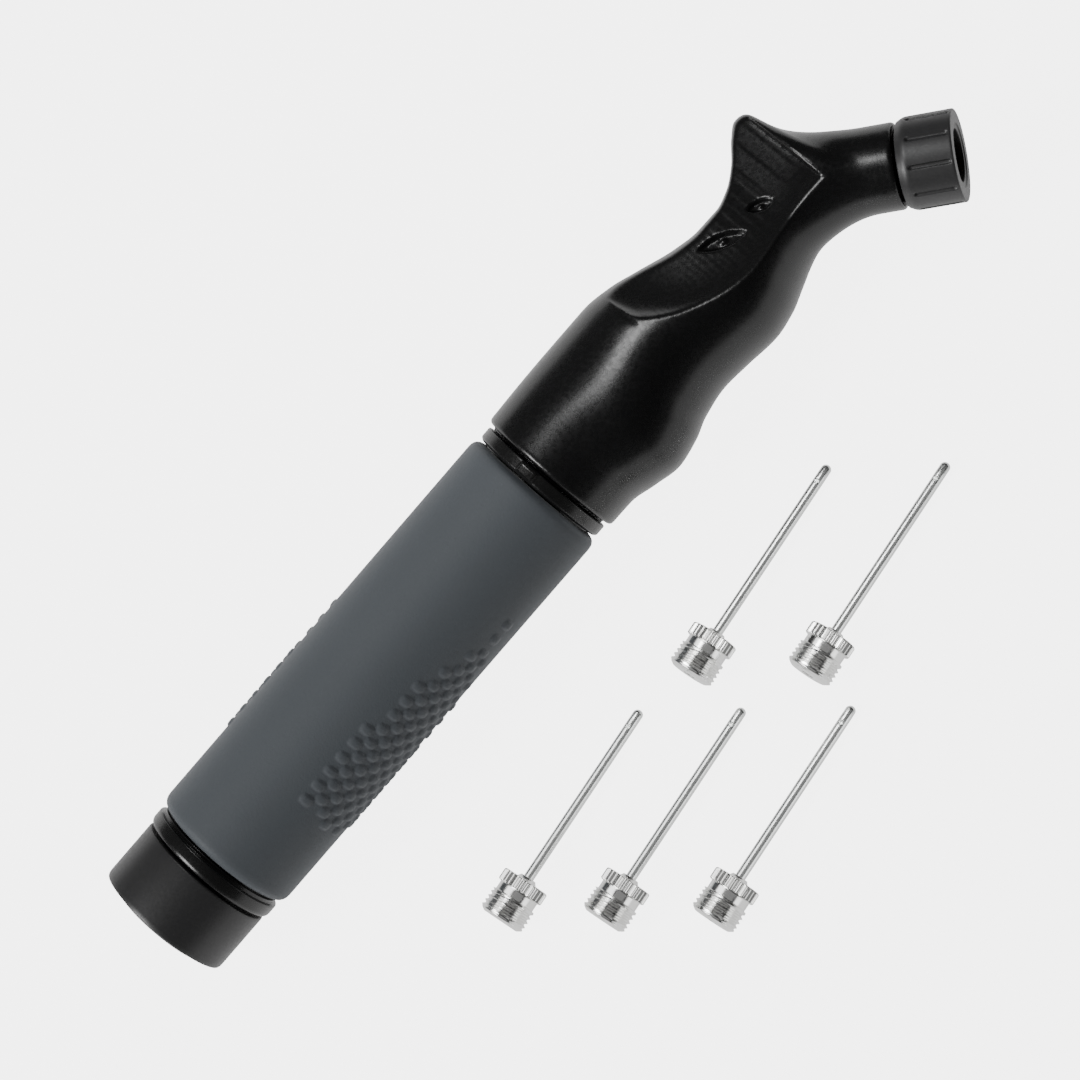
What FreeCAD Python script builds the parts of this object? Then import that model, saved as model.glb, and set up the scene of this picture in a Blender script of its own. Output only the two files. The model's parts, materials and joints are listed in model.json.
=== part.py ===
"""Hand ball pump with a moulded pistol handle, a soft grip sleeve and five inflation needles.

Millimetres. X runs along the barrel from the end cap to the head, Z is up, and the nozzle
leans towards -Y. Everything is modelled with the barrel axis on the X axis, then moved so
that the origin is the middle of the bounding box at the surface the set lies on.
"""
import FreeCAD, Part
import math
import os

# ---- clearances, on the radius unless they are along an axis ---------------------------------

PRESS = 0.02                 # pieces that stay together
RUNNING = 0.05               # pieces that slide or turn on each other
THREAD = 0.10                # plain stand-in for a thread
SEAL_FIT = 0.015             # o-rings on the rod
PISTON_CLEARANCE = 0.12
END_PLAY = 0.1               # along an axis, between pieces in one bore

# ---- driving sizes: barrel --------------------------------------------------------------------

BARREL_BORE = 8.6            # radius
BARREL_WALL = 1.7
THREAD_STEP = 0.4            # the barrel is thinner by this under the end cap
CAP_LENGTH = 11.2
CAP_WALL = 1.6
CAP_FLOOR = 2.0
CAP_EDGE = 1.5
CAP_RIM_EDGE = 0.4
GAP = 0.6                    # visible groove between neighbouring outer pieces
RING_LENGTH = 3.0
RING_WALL = 1.63
RING_EDGE = 0.5
SLEEVE_LENGTH = 76.2
SLEEVE_WALL = 2.18
SLEEVE_EDGE = 1.8
SLEEVE_GAP = 0.3
COLLAR_LENGTH = 2.3
COLLAR_LIP = 0.4
COLLAR_ROD_GAP = 0.6
LUG_WIDTH = 3.0
LUG_HEIGHT = 0.45
LUG_ROOT = 0.6               # how deep the lug is sunk into the collar
LUG_INSET = 0.25             # between the lug and each face of the collar
HANDLE_OVERHANG = 0.1        # the handle's front edge stands out from the sleeve by this

# ---- driving sizes: pump mechanism ------------------------------------------------------------

ROD_RADIUS = 4.0
ROD_BORE = 2.0
ROD_SEAT = 1.9               # how far the rod goes into the handle behind its hollow
PISTON_LENGTH = 9.0
PISTON_FLOOR_GAP = 1.0       # between the gasket and the piston
PISTON_WEB = 4.0
VALVE_POCKET = 1.6
SEAL_INSET = 2.2             # from each end of the piston to the middle of its seal
FLAP_EDGE = 0.5
FLAP_DOME = 1.3
GASKET_THICKNESS = 1.2
GASKET_REACH = 1.0           # how far the gasket covers the barrel's bore
PISTON_ORING = 0.9           # radius of the section
ROD_ORING = 0.8
BUMPER_LENGTH = 2.4
BUMPER_ROD_GAP = 0.4
BUSHING_LENGTH = 6.0
HANDLE_WALL = 2.6            # round the hollow front end
HOLLOW_DEPTH = 22.4
ANCHOR_INSET = 0.4
ANCHOR_LENGTH = 9.6
NUT_LENGTH = 4.0
NUT_WALL = 3.0               # from the rod to the nut's corners
AIRWAY_RADIUS = 1.6
AIRWAY_ELBOW = 2.3           # radius of the pocket where the two airways meet

# ---- driving sizes: needle --------------------------------------------------------------------

NEEDLE_LENGTH = 39.7
NEEDLE_RADIUS = 0.85
NEEDLE_BORE = 0.4
NEEDLE_SWAGE = 0.2           # the tube's end is drawn in by this where the hub holds it
NEEDLE_TAIL = 0.3            # from the hub's base to the end of the tube
NEEDLE_TIP_WALL = 2.2
PORT_RADIUS = 0.42
PORT_PLACE = 3.2             # from the needle's tip
HUB_THREAD = 3.92            # outside radius of the 5/16 in thread
HUB_THREAD_DEPTH = 0.4
HUB_PITCH = 0.79             # 32 threads to the inch
HUB_CREST = 0.3              # share of the pitch that is flat
HUB_THREADS = 4
HUB_BASE = 0.7
HUB_WAIST = 0.52             # the neck is thinner than the thread by this
HUB_NECK_LENGTH = 1.5
KNURL_STAND = 0.03           # the knurl stands out from the thread by this
KNURL_DEPTH = 0.3
KNURL_ROOT = 0.5             # how deep the knurl is sunk into the neck
KNURL_LENGTH = 2.1
KNURL_TEETH = 28
HUB_NOSE = 0.6
HUB_NOSE_WALL = 0.55
HUB_NOSE_FLARE = 0.3
NEEDLE_HEADING = 9.5         # degrees from X
NEEDLE_SPOTS = ((85.2, -36.6), (97.5, -51.0), (36.7, -39.7), (47.8, -52.2), (59.4, -65.3))
REST_GAP = 0.02              # between a needle and the surface

# ---- driving sizes: nozzle, along its own axis from where that crosses the barrel's axis ------

NOZZLE_PLACE = 60.1          # crossing point, from the front edge of the handle
NOZZLE_ANGLE = 42.0
NECK_END = 16.0
NECK_STEP = 1.3              # shoulder from the spigot to the neck
NECK_FLARE = ((-5.0, -0.9), (0.0, 0.7), (6.0, 0.2), (10.0, 0.0))     # place, extra radius
SPIGOT_END = 22.5
SPIGOT_WALL = 0.68
INSERT_WALL = 0.93
INSERT_START = 14.0
INSERT_BORE = 1.5
SOCKET_DEPTH = 6.8
NEEDLE_GASKET_INSET = 0.77   # the gasket's radius is smaller than the socket's by this
NEEDLE_GASKET_THICKNESS = 1.0
VALVE_START = 6.0
VALVE_SEAT_LENGTH = 2.5
VALVE_SEAT_HOLE = 1.2
VALVE_BALL = 1.8
VALVE_CAGE_GAP = 0.2
SPRING_RADIUS = 1.2
SPRING_WIRE = 0.18
SPRING_GAP = 0.3
SPRING_TURNS = 4
NOZZLE_CAP_GAP = 0.5
NOZZLE_CAP_LENGTH = 9.0
NOZZLE_CAP_WALL = 1.65
NOZZLE_CAP_END_WALL = 1.3
NOZZLE_CAP_HOLE_GAP = 0.23   # round a needle's thread
NOZZLE_CAP_CHAMFER = 0.7
NOZZLE_CAP_EDGE = 0.6
NOZZLE_CAP_RIBS = 10
GROOVE_RADIUS = 1.0
GROOVE_DEPTH = 0.35
GROOVE_PLACE = 2.0
WASHER_THICKNESS = 1.6

# ---- driving sizes: handle --------------------------------------------------------------------

# Handle stations: distance from the handle's front edge in millimetres, then the reach towards
# -Y, the reach towards +Y, the half thickness of the finger side and that of the thumb side,
# all four as shares of the radius at the front edge.
HANDLE_STATIONS = (
    (0.0, 1.0, 1.0, 1.0, 1.0),
    (5.0, 1.008, 1.008, 1.0, 1.0),
    (9.5, 1.103, 1.024, 1.0, 1.0),
    (14.3, 1.19, 1.032, 1.0, 1.0),
    (19.0, 1.127, 1.032, 0.992, 1.0),
    (23.0, 1.016, 1.024, 0.984, 0.992),
    (28.3, 0.952, 0.944, 0.96, 0.905),
    (33.0, 0.984, 0.81, 0.944, 0.746),
    (39.5, 1.04, 0.619, 0.921, 0.587),
    (44.0, 0.984, 0.54, 0.889, 0.524),
    (48.0, 0.873, 0.54, 0.825, 0.476),
    (51.5, 0.778, 0.619, 0.762, 0.444),
    (55.0, 0.714, 0.794, 0.698, 0.397),
    (58.5, 0.683, 1.056, 0.635, 0.333),
    (61.0, 0.635, 1.183, 0.571, 0.27),
    (62.6, 0.524, 1.175, 0.46, 0.206),
    (63.2, 0.413, 1.119, 0.349, 0.135),
)
SECTION_POINTS = 16
# Recesses in both cheeks: distance from the front edge, Y, length, width, degrees from X.
RECESS_SPOTS = ((45.0, 0.4, 9.0, 3.0, -28.0), (53.0, 0.2, 5.0, 2.4, -28.0))
RECESS_DEPTH = 1.2

# ---- sizes that follow ------------------------------------------------------------------------

BARREL_OUTER = BARREL_BORE + BARREL_WALL
SLEEVE_BORE = BARREL_OUTER + PRESS
CAP_THREAD = BARREL_OUTER - THREAD_STEP
CAP_RADIUS = CAP_THREAD + THREAD + CAP_WALL
RING_RADIUS = SLEEVE_BORE + RING_WALL
SLEEVE_RADIUS = SLEEVE_BORE + SLEEVE_WALL
HANDLE_RADIUS = SLEEVE_RADIUS + HANDLE_OVERHANG
HOLLOW_RADIUS = HANDLE_RADIUS - HANDLE_WALL
NEEDLE_SOCKET = HUB_THREAD + RUNNING
INSERT_RADIUS = NEEDLE_SOCKET + INSERT_WALL
SPIGOT_RADIUS = INSERT_RADIUS + PRESS + SPIGOT_WALL
NECK_RADIUS = SPIGOT_RADIUS + NECK_STEP
NOZZLE_CAP_BORE = SPIGOT_RADIUS + THREAD
NOZZLE_CAP_RADIUS = NOZZLE_CAP_BORE + NOZZLE_CAP_WALL
NOZZLE_CAP_HOLE = NEEDLE_SOCKET + NOZZLE_CAP_HOLE_GAP
NEEDLE_GASKET_RADIUS = NEEDLE_SOCKET - NEEDLE_GASKET_INSET
KNURL_RADIUS = HUB_THREAD + KNURL_STAND
HUB_NECK = HUB_THREAD - HUB_WAIST
HUB_BORE = NEEDLE_RADIUS - NEEDLE_SWAGE + PRESS

# ---- places along X, then along the nozzle and along a needle ---------------------------------

BARREL_START = CAP_FLOOR + GASKET_THICKNESS
RING_X = CAP_LENGTH + GAP
SLEEVE_X = RING_X + RING_LENGTH + SLEEVE_GAP
SLEEVE_END_X = SLEEVE_X + SLEEVE_LENGTH
COLLAR_X = SLEEVE_END_X + SLEEVE_GAP
COLLAR_END_X = COLLAR_X + COLLAR_LENGTH
BARREL_END = COLLAR_END_X - COLLAR_LIP
BUSHING_X = BARREL_END - BUSHING_LENGTH
BUMPER_X = BUSHING_X - BUMPER_LENGTH
PISTON_X = BARREL_START + PISTON_FLOOR_GAP
PISTON_END = PISTON_X + PISTON_LENGTH
HANDLE_X = COLLAR_END_X + GAP
HOLLOW_END = HANDLE_X + HOLLOW_DEPTH
ANCHOR_X = HANDLE_X + ANCHOR_INSET
ROD_X = PISTON_X + PISTON_WEB + VALVE_POCKET
ROD_END = HOLLOW_END + ROD_SEAT
NOZZLE_ORIGIN = FreeCAD.Vector(HANDLE_X + NOZZLE_PLACE, 0, 0)
NOZZLE_CAP_START = NECK_END + NOZZLE_CAP_GAP
NOZZLE_CAP_END = NOZZLE_CAP_START + NOZZLE_CAP_LENGTH
INSERT_END = SPIGOT_END - END_PLAY
SOCKET_BASE = INSERT_END - SOCKET_DEPTH
VALVE_END = INSERT_START - END_PLAY
KNURL_X = HUB_BASE + HUB_THREADS * HUB_PITCH + HUB_NECK_LENGTH
KNURL_END_X = KNURL_X + KNURL_LENGTH
HUB_END_X = KNURL_END_X + HUB_NOSE

# ---- shape helpers --------------------------------------------------------------------------


def lathe(profile):
    """Solid of revolution about X from (x, radius) corners."""
    points = [FreeCAD.Vector(x, r, 0) for x, r in profile]
    face = Part.Face(Part.makePolygon(points + points[:1]))
    return face.revolve(FreeCAD.Vector(0, 0, 0), FreeCAD.Vector(1, 0, 0), 360)


def tube(x0, x1, outer, inner):
    """Straight tube along X."""
    return lathe([(x0, inner), (x1, inner), (x1, outer), (x0, outer)])


def rod(x0, x1, radius):
    """Straight round bar along X."""
    return Part.makeCylinder(radius, x1 - x0, FreeCAD.Vector(x0, 0, 0), FreeCAD.Vector(1, 0, 0))


def oring(x, inner, wire):
    """O-ring about X with its inside at the given radius."""
    return Part.makeTorus(inner + wire, wire, FreeCAD.Vector(x, 0, 0), FreeCAD.Vector(1, 0, 0))


def round_rims(solid, size, x, radius):
    """Fillet the circular edges that lie at one X and radius."""
    edges = []
    for edge in solid.Edges:
        curve = edge.Curve
        if not isinstance(curve, Part.Circle):
            continue
        if abs(curve.Radius - radius) < 1e-4 and abs(curve.Center.x - x) < 1e-4:
            edges.append(edge)
    return solid.makeFillet(size, edges)


def turned(solid, axis, degrees):
    """Turn a solid about an axis through the origin."""
    solid.rotate(FreeCAD.Vector(0, 0, 0), FreeCAD.Vector(*axis), degrees)
    return solid


def on_nozzle(solid):
    """Move a solid made along X onto the nozzle's axis."""
    solid = turned(solid, (0, 0, 1), -NOZZLE_ANGLE)
    solid.translate(NOZZLE_ORIGIN)
    return solid


def lens(length, width, depth):
    """Flattened ball used to sink a pocket."""
    ball = Part.makeSphere(1.0)
    matrix = FreeCAD.Matrix()
    matrix.scale(length / 2, width / 2, depth)
    return ball.transformGeometry(matrix)


# ---- barrel -----------------------------------------------------------------------------------


def make_end_cap():
    inner = CAP_THREAD + THREAD
    profile = [(0, 0), (0, CAP_RADIUS), (CAP_LENGTH, CAP_RADIUS), (CAP_LENGTH, inner)]
    profile += [(CAP_FLOOR, inner), (CAP_FLOOR, 0)]
    cap = lathe(profile)
    cap = round_rims(cap, CAP_EDGE, 0, CAP_RADIUS)
    return round_rims(cap, CAP_RIM_EDGE, CAP_LENGTH, CAP_RADIUS)


def make_end_cap_gasket():
    return tube(CAP_FLOOR, BARREL_START, CAP_THREAD - RUNNING, BARREL_BORE - GASKET_REACH)


def make_barrel_tube():
    profile = [(BARREL_START, BARREL_BORE), (BARREL_END, BARREL_BORE), (BARREL_END, BARREL_OUTER)]
    profile += [(RING_X, BARREL_OUTER), (RING_X, CAP_THREAD), (BARREL_START, CAP_THREAD)]
    return lathe(profile)


def make_barrel_ring():
    ring = tube(RING_X, RING_X + RING_LENGTH, RING_RADIUS, SLEEVE_BORE)
    return round_rims(ring, RING_EDGE, RING_X, RING_RADIUS)


def make_grip_sleeve():
    sleeve = tube(SLEEVE_X, SLEEVE_END_X, SLEEVE_RADIUS, SLEEVE_BORE)
    sleeve = round_rims(sleeve, SLEEVE_EDGE, SLEEVE_X, SLEEVE_RADIUS)
    return round_rims(sleeve, SLEEVE_EDGE, SLEEVE_END_X, SLEEVE_RADIUS)


def make_collar():
    lip = ROD_RADIUS + COLLAR_ROD_GAP
    profile = [(COLLAR_X, SLEEVE_BORE), (COLLAR_X, RING_RADIUS), (COLLAR_END_X, RING_RADIUS)]
    profile += [(COLLAR_END_X, lip), (BARREL_END + PRESS, lip), (BARREL_END + PRESS, SLEEVE_BORE)]
    collar = lathe(profile)
    lug = Part.makeBox(COLLAR_LENGTH - 2 * LUG_INSET, LUG_WIDTH, LUG_ROOT + LUG_HEIGHT)
    lug.translate(FreeCAD.Vector(COLLAR_X + LUG_INSET, -LUG_WIDTH / 2, RING_RADIUS - LUG_ROOT))
    return collar.fuse(lug).removeSplitter()


def make_rod_bushing():
    outer = BARREL_BORE - PRESS
    bore = ROD_RADIUS + RUNNING
    groove = ROD_RADIUS + 2 * ROD_ORING + PRESS
    half = ROD_ORING + RUNNING
    middle = BUSHING_X + BUSHING_LENGTH / 2
    profile = [(BUSHING_X, bore), (middle - half, bore), (middle - half, groove)]
    profile += [(middle + half, groove), (middle + half, bore), (BARREL_END, bore)]
    profile += [(BARREL_END, outer), (BUSHING_X, outer)]
    return lathe(profile)


def make_rod_seal():
    return oring(BUSHING_X + BUSHING_LENGTH / 2, ROD_RADIUS + SEAL_FIT, ROD_ORING)


def make_stop_bumper():
    return tube(BUMPER_X, BUSHING_X, BARREL_BORE - PRESS, ROD_RADIUS + BUMPER_ROD_GAP)


# ---- piston and rod ---------------------------------------------------------------------------


def seal_positions():
    return [PISTON_X + SEAL_INSET, PISTON_END - SEAL_INSET]


def seal_inner():
    """Inside radius of the piston's o-rings, which just clear the barrel's bore."""
    return BARREL_BORE - PRESS - 2 * PISTON_ORING


def make_piston_head():
    half = PISTON_ORING + RUNNING
    head = rod(PISTON_X, PISTON_END, BARREL_BORE - PISTON_CLEARANCE)
    for x in seal_positions():
        head = head.cut(tube(x - half, x + half, BARREL_BORE, seal_inner() - PRESS))
    head = head.cut(rod(PISTON_X - 1, ROD_X, AIRWAY_RADIUS))
    return head.cut(rod(PISTON_X + PISTON_WEB, PISTON_END + 1, ROD_RADIUS + PRESS))


def make_piston_seals():
    return Part.makeCompound([oring(x, seal_inner(), PISTON_ORING) for x in seal_positions()])


def make_piston_valve():
    start = PISTON_X + PISTON_WEB
    edge = ROD_RADIUS - FLAP_EDGE
    profile = [(start, 0), (start, edge), (start + FLAP_EDGE, edge)]
    profile += [(start + FLAP_DOME, edge / 4), (start + FLAP_DOME, 0)]
    return lathe(profile)


def make_piston_rod():
    return tube(ROD_X, ROD_END, ROD_RADIUS, ROD_BORE)


def make_rod_anchor():
    return tube(ANCHOR_X, ANCHOR_X + ANCHOR_LENGTH, HOLLOW_RADIUS - PRESS, ROD_RADIUS + PRESS)


def make_rod_nut():
    start = ANCHOR_X + ANCHOR_LENGTH
    radius = ROD_RADIUS + NUT_WALL
    points = []
    for i in range(7):
        angle = math.radians(60 * i)
        points.append(FreeCAD.Vector(start, radius * math.cos(angle), radius * math.sin(angle)))
    hexagon = Part.Face(Part.makePolygon(points))
    nut = hexagon.extrude(FreeCAD.Vector(NUT_LENGTH, 0, 0))
    return nut.cut(rod(start - 1, start + NUT_LENGTH + 1, ROD_RADIUS + PRESS))


def make_rod_end_seal():
    return oring(HOLLOW_END - ROD_ORING, ROD_RADIUS + SEAL_FIT, ROD_ORING)


# ---- handle -----------------------------------------------------------------------------------


def handle_sizes(station):
    """Sizes of one station in millimetres, after its distance from the front edge."""
    return [HANDLE_RADIUS * share for share in station[1:]]


def cheek(thick, thin, across):
    """Half thickness at a place across the handle, from -1 at the finger side to 1."""
    share = (1 + across) / 2
    blend = share * share * (3 - 2 * share)
    return (thick + (thin - thick) * blend) * math.sqrt(1 - across * across)


def handle_section(station):
    """Closed curve across the handle: thick at the finger side, thinner at the thumb side."""
    finger, thumb, thick, thin = handle_sizes(station)
    points = []
    for i in range(SECTION_POINTS):
        angle = 2 * math.pi * i / SECTION_POINTS
        across = math.cos(angle)
        y = (thumb - finger) / 2 + (thumb + finger) / 2 * across
        z = math.copysign(cheek(thick, thin, across), math.sin(angle))
        points.append(FreeCAD.Vector(HANDLE_X + station[0], y, z))
    curve = Part.BSplineCurve()
    curve.interpolate(points, PeriodicFlag=True)
    return Part.Wire(curve.toShape())


def cheek_height(distance, y):
    """Half thickness of the handle at a point, between the two nearest stations."""
    for near, far in zip(HANDLE_STATIONS, HANDLE_STATIONS[1:]):
        if near[0] <= distance <= far[0]:
            break
    share = (distance - near[0]) / (far[0] - near[0])
    pairs = zip(handle_sizes(near), handle_sizes(far))
    finger, thumb, thick, thin = [n + (f - n) * share for n, f in pairs]
    return cheek(thick, thin, (y - (thumb - finger) / 2) / ((thumb + finger) / 2))


def make_handle_grip():
    sections = [handle_section(station) for station in HANDLE_STATIONS]
    return Part.makeLoft(sections, True, False)


def make_nozzle_neck():
    """Flared neck and threaded spigot, along X."""
    profile = [(NECK_FLARE[0][0], 0)]
    profile += [(place, NECK_RADIUS + extra) for place, extra in NECK_FLARE]
    profile += [(NECK_END, NECK_RADIUS), (NECK_END, SPIGOT_RADIUS), (SPIGOT_END, SPIGOT_RADIUS)]
    profile += [(SPIGOT_END, 0)]
    return lathe(profile)


def make_nozzle_bore():
    """Space for the airway, the outlet valve and the threaded insert, along X."""
    bore = INSERT_RADIUS + PRESS
    profile = [(0, 0), (0, AIRWAY_RADIUS), (VALVE_START, AIRWAY_RADIUS), (VALVE_START, bore)]
    profile += [(SPIGOT_END + 1, bore), (SPIGOT_END + 1, 0)]
    return lathe(profile)


def make_handle_body():
    body = make_handle_grip().fuse(on_nozzle(make_nozzle_neck()))
    body = body.cut(rod(HANDLE_X - 1, HOLLOW_END, HOLLOW_RADIUS))
    body = body.cut(rod(HOLLOW_END - 1, ROD_END + END_PLAY, ROD_RADIUS + PRESS))
    body = body.cut(rod(ROD_END, NOZZLE_ORIGIN.x, AIRWAY_RADIUS))
    body = body.cut(Part.makeSphere(AIRWAY_ELBOW, NOZZLE_ORIGIN))
    body = body.cut(on_nozzle(make_nozzle_bore()))
    for distance, y, length, width, degrees in RECESS_SPOTS:
        for side in (1, -1):
            pocket = turned(lens(length, width, RECESS_DEPTH), (0, 0, 1), degrees)
            height = side * cheek_height(distance, y)
            pocket.translate(FreeCAD.Vector(HANDLE_X + distance, y, height))
            body = body.cut(pocket)
    return body


# ---- nozzle -----------------------------------------------------------------------------------


def make_valve_body():
    cage = VALVE_BALL + VALVE_CAGE_GAP
    seat_end = VALVE_START + VALVE_SEAT_LENGTH
    profile = [(VALVE_START, VALVE_SEAT_HOLE), (seat_end, VALVE_SEAT_HOLE), (seat_end, cage)]
    profile += [(VALVE_END, cage), (VALVE_END, INSERT_RADIUS), (VALVE_START, INSERT_RADIUS)]
    return on_nozzle(lathe(profile))


def ball_centre():
    """Place of the ball's centre when it rests on the edge of its seat."""
    seat_end = VALVE_START + VALVE_SEAT_LENGTH
    return seat_end + math.sqrt(VALVE_BALL ** 2 - VALVE_SEAT_HOLE ** 2) + PRESS / 2


def make_valve_ball():
    return on_nozzle(Part.makeSphere(VALVE_BALL, FreeCAD.Vector(ball_centre(), 0, 0)))


def make_valve_spring():
    start = ball_centre() + math.sqrt(VALVE_BALL ** 2 - SPRING_RADIUS ** 2) + SPRING_GAP
    length = INSERT_START - SPRING_WIRE - start
    helix = Part.makeHelix(length / SPRING_TURNS, length, SPRING_RADIUS)
    first = FreeCAD.Vector(SPRING_RADIUS, 0, 0)
    section = Part.Wire(Part.makeCircle(SPRING_WIRE, first, FreeCAD.Vector(0, 1, 0)))
    spring = Part.Wire(helix).makePipeShell([section], True, True)
    spring = turned(spring, (0, 1, 0), 90)
    spring.translate(FreeCAD.Vector(start, 0, 0))
    return on_nozzle(spring)


def make_nozzle_insert():
    gasket_x = SOCKET_BASE - NEEDLE_GASKET_THICKNESS
    seat = NEEDLE_GASKET_RADIUS + PRESS
    profile = [(INSERT_START, INSERT_BORE), (gasket_x, INSERT_BORE), (gasket_x, seat)]
    profile += [(SOCKET_BASE, seat), (SOCKET_BASE, NEEDLE_SOCKET), (INSERT_END, NEEDLE_SOCKET)]
    profile += [(INSERT_END, INSERT_RADIUS), (INSERT_START, INSERT_RADIUS)]
    return on_nozzle(lathe(profile))


def make_needle_gasket():
    start = SOCKET_BASE - NEEDLE_GASKET_THICKNESS
    return on_nozzle(tube(start, SOCKET_BASE - PRESS, NEEDLE_GASKET_RADIUS, INSERT_BORE))


def make_cap_washer():
    end = NOZZLE_CAP_END - NOZZLE_CAP_END_WALL
    return on_nozzle(tube(end - WASHER_THICKNESS, end, SPIGOT_RADIUS, NOZZLE_CAP_HOLE))


def make_nozzle_cap():
    start = NOZZLE_CAP_START
    end = NOZZLE_CAP_END
    floor = end - NOZZLE_CAP_END_WALL
    outer = NOZZLE_CAP_RADIUS
    profile = [(start, NOZZLE_CAP_BORE), (start, outer - NOZZLE_CAP_CHAMFER)]
    profile += [(start + NOZZLE_CAP_CHAMFER, outer), (end - NOZZLE_CAP_EDGE, outer)]
    profile += [(end, outer - NOZZLE_CAP_EDGE), (end, NOZZLE_CAP_HOLE), (floor, NOZZLE_CAP_HOLE)]
    profile += [(floor, NOZZLE_CAP_BORE)]
    cap = lathe(profile)
    for i in range(NOZZLE_CAP_RIBS):
        groove = rod(start + GROOVE_PLACE, end + 1, GROOVE_RADIUS)
        groove.translate(FreeCAD.Vector(0, 0, outer + GROOVE_RADIUS - GROOVE_DEPTH))
        cap = cap.cut(turned(groove, (1, 0, 0), 360 * i / NOZZLE_CAP_RIBS))
    return on_nozzle(cap)


# ---- needles ----------------------------------------------------------------------------------


def hub_profile():
    """Outline of the hub without its knurl, from the threaded base up."""
    root = HUB_THREAD - HUB_THREAD_DEPTH
    flank = HUB_PITCH * (1 - HUB_CREST) / 2
    profile = [(0, HUB_BORE), (0, HUB_THREAD - HUB_BASE), (HUB_BASE, root)]
    x = HUB_BASE
    for _ in range(HUB_THREADS):
        profile.append((x + flank, HUB_THREAD))
        profile.append((x + HUB_PITCH - flank, HUB_THREAD))
        x += HUB_PITCH
        profile.append((x, root))
    nose = NEEDLE_RADIUS + HUB_NOSE_WALL
    profile += [(x, HUB_NECK), (KNURL_END_X, HUB_NECK), (KNURL_END_X, nose + HUB_NOSE_FLARE)]
    profile += [(HUB_END_X, nose), (HUB_END_X, HUB_BORE)]
    return profile


def make_knurl():
    points = []
    for i in range(2 * KNURL_TEETH):
        angle = math.pi * i / KNURL_TEETH
        radius = KNURL_RADIUS - KNURL_DEPTH * (i % 2)
        points.append(FreeCAD.Vector(KNURL_X, radius * math.cos(angle), radius * math.sin(angle)))
    face = Part.Face(Part.makePolygon(points + points[:1]))
    knurl = face.extrude(FreeCAD.Vector(KNURL_LENGTH, 0, 0))
    return knurl.cut(rod(KNURL_X - 1, KNURL_END_X + 1, HUB_NECK - KNURL_ROOT))


def make_needle_hub():
    return lathe(hub_profile()).fuse(make_knurl()).removeSplitter()


def make_needle_tube():
    swage_end = HUB_END_X + 2 * END_PLAY
    tip_x = NEEDLE_LENGTH - NEEDLE_RADIUS
    body = rod(NEEDLE_TAIL, swage_end, NEEDLE_RADIUS - NEEDLE_SWAGE)
    body = body.fuse(rod(swage_end, tip_x, NEEDLE_RADIUS))
    body = body.fuse(Part.makeSphere(NEEDLE_RADIUS, FreeCAD.Vector(tip_x, 0, 0))).removeSplitter()
    body = body.cut(rod(0, NEEDLE_LENGTH - NEEDLE_TIP_WALL, NEEDLE_BORE))
    port = rod(0, 2 * NEEDLE_RADIUS, PORT_RADIUS)
    port = turned(port, (0, 1, 0), -90)
    port.translate(FreeCAD.Vector(NEEDLE_LENGTH - PORT_PLACE, 0, 0))
    return body.cut(port)


def lay_needle(solid, spot, floor):
    """Lay a needle on the surface at Z = floor, resting on its knurl and its tip."""
    span = NEEDLE_LENGTH - NEEDLE_RADIUS - KNURL_END_X
    tilt = math.asin((KNURL_RADIUS - NEEDLE_RADIUS) / span)
    base = NEEDLE_RADIUS + (NEEDLE_LENGTH - NEEDLE_RADIUS) * math.sin(tilt) + REST_GAP
    solid = turned(solid, (0, 1, 0), math.degrees(tilt))
    solid = turned(solid, (0, 0, 1), NEEDLE_HEADING)
    solid.translate(FreeCAD.Vector(spot[0], spot[1], floor + base))
    return solid


# ---- assembly ---------------------------------------------------------------------------------


def make_pump():
    """Every piece of the pump itself, by node name."""
    return {
        "end_cap": make_end_cap(),
        "end_cap_gasket": make_end_cap_gasket(),
        "barrel_tube": make_barrel_tube(),
        "barrel_ring": make_barrel_ring(),
        "grip_sleeve": make_grip_sleeve(),
        "collar": make_collar(),
        "rod_bushing": make_rod_bushing(),
        "rod_seal": make_rod_seal(),
        "stop_bumper": make_stop_bumper(),
        "piston_head": make_piston_head(),
        "piston_seals": make_piston_seals(),
        "piston_valve": make_piston_valve(),
        "piston_rod": make_piston_rod(),
        "rod_anchor": make_rod_anchor(),
        "rod_nut": make_rod_nut(),
        "rod_end_seal": make_rod_end_seal(),
        "handle_body": make_handle_body(),
        "valve_body": make_valve_body(),
        "valve_ball": make_valve_ball(),
        "valve_spring": make_valve_spring(),
        "nozzle_insert": make_nozzle_insert(),
        "needle_gasket": make_needle_gasket(),
        "cap_washer": make_cap_washer(),
        "nozzle_cap": make_nozzle_cap(),
    }


def make_all():
    nodes = make_pump()
    floor = min(node.optimalBoundingBox().ZMin for node in nodes.values())
    for number, spot in enumerate(NEEDLE_SPOTS, 1):
        nodes["needle_hub_%d" % number] = lay_needle(make_needle_hub(), spot, floor)
        nodes["needle_tube_%d" % number] = lay_needle(make_needle_tube(), spot, floor)
    return nodes


def write_all():
    nodes = make_all()
    box = Part.makeCompound(list(nodes.values())).optimalBoundingBox()
    shift = FreeCAD.Vector(-(box.XMin + box.XMax) / 2, -(box.YMin + box.YMax) / 2, -box.ZMin)
    os.makedirs("parts", exist_ok=True)
    for name, solid in nodes.items():
        solid.translate(shift)
        solid.exportStep("parts/%s.step" % name)
        print(name, solid.isValid(), len(solid.Solids), round(solid.Volume, 2))
    print("piston travel", round(BUMPER_X - PISTON_END, 3))
    print("shift", shift)


write_all()
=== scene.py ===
"""Looks of a slim hand ball pump with a soft grip sleeve and five inflation needles.

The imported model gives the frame: every place is worked out from the boxes of its nodes.
Sizes are in millimetres inside the classes and become metres when a mesh is made.
"""
import json
import logging
import math
from dataclasses import dataclass, field
from enum import Enum
from typing import Callable, Sequence

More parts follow.
